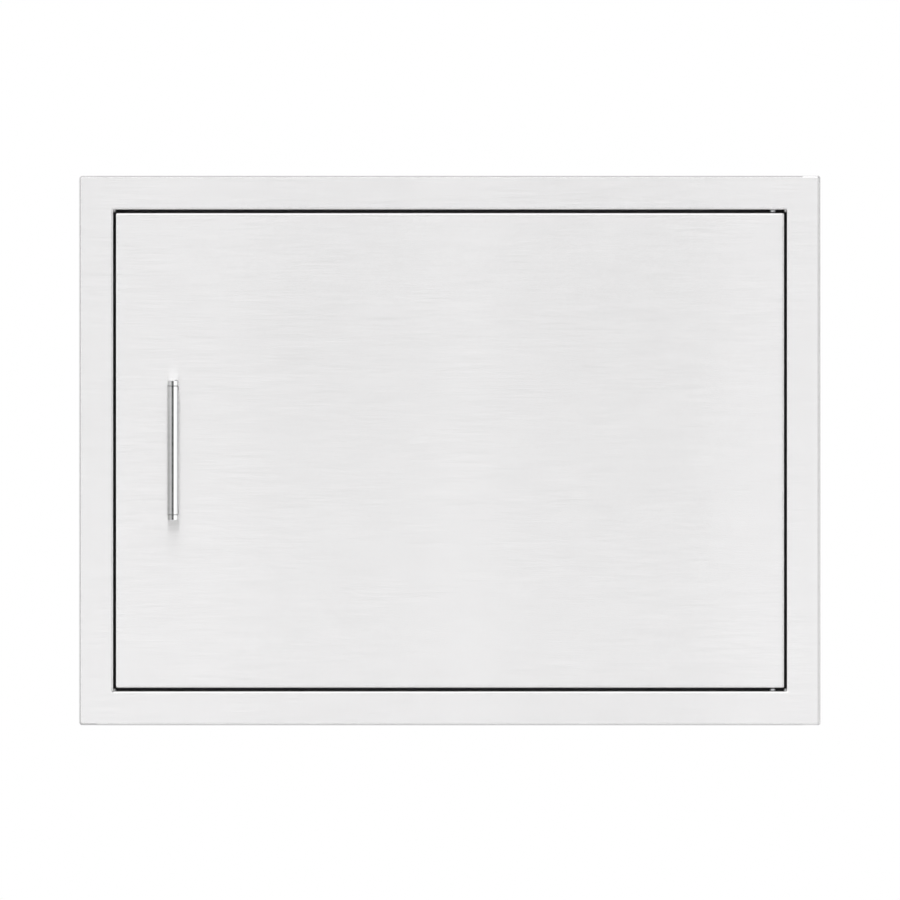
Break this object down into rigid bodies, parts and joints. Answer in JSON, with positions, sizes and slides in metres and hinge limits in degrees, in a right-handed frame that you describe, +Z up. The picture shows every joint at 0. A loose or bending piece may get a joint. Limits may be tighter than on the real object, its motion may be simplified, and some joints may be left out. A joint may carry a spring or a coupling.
{
  "type": "access door",
  "caption": "Flush stainless access door on two vertical pivots in a flanged frame for a wall cut-out, with a bar handle and magnetic catches.",
  "frame": {"origin": "centre of the face frame, in the plane of its outer lip's rear edge, which is the wall's surface", "axes": "+Z up the door, +X across it towards the hinge edge, +Y into the wall; the door faces -Y"},
  "size_m": [0.6858, 0.088, 0.508],
  "materials": {
    "brushed_sheet": "horizontally brushed",
    "mill_sheet": "mill finish",
    "satin_bar": "satin",
    "plated_steel": "bright plated",
    "black_coat": "matt black powder coat",
    "black_zinc": "black zinc plated",
    "ferrite": "sintered",
    "black_plastic": "moulded",
    "white_acetal": "turned",
    "black_rubber": "matt"
  },
  "bodies": {
    "frame": {"face_frame": "brushed_sheet", "top_sleeve_rail": "mill_sheet", "bottom_sleeve_rail": "mill_sheet", "latch_sleeve_rail": "mill_sheet", "hinge_sleeve_rail": "mill_sheet", "top_door_stop": "black_coat", "bottom_door_stop": "black_coat", "latch_door_stop": "black_coat", "hinge_door_stop": "black_coat", "upper_pivot_screw": "black_zinc", "lower_pivot_screw": "black_zinc", "pivot_spacers": "plated_steel", "catch_housings": "black_plastic", "catch_magnets": "ferrite", "catch_pole_plates": "plated_steel", "catch_screws": "plated_steel", "door_bumpers": "black_rubber"},
    "door": {"door_skin": "brushed_sheet", "door_liner": "mill_sheet", "door_stiffener": "mill_sheet", "upper_pivot_block": "mill_sheet", "lower_pivot_block": "mill_sheet", "upper_pivot_bush": "white_acetal", "lower_pivot_bush": "white_acetal", "handle_bar": "satin_bar", "upper_handle_bracket": "satin_bar", "lower_handle_bracket": "satin_bar", "handle_backing_plate": "mill_sheet", "handle_screws": "plated_steel", "handle_washers": "plated_steel", "liner_hole_plugs": "black_plastic", "strike_plates": "plated_steel", "strike_rivets": "mill_sheet"}
  },
  "joints": [
    {"name": "door_hinge", "type": "hinge", "parent": "frame", "child": "door", "pos_m": [0.2985, -0.0025, 0], "axis": [0, 0, 1], "range_deg": [0, 120]}
  ]
}
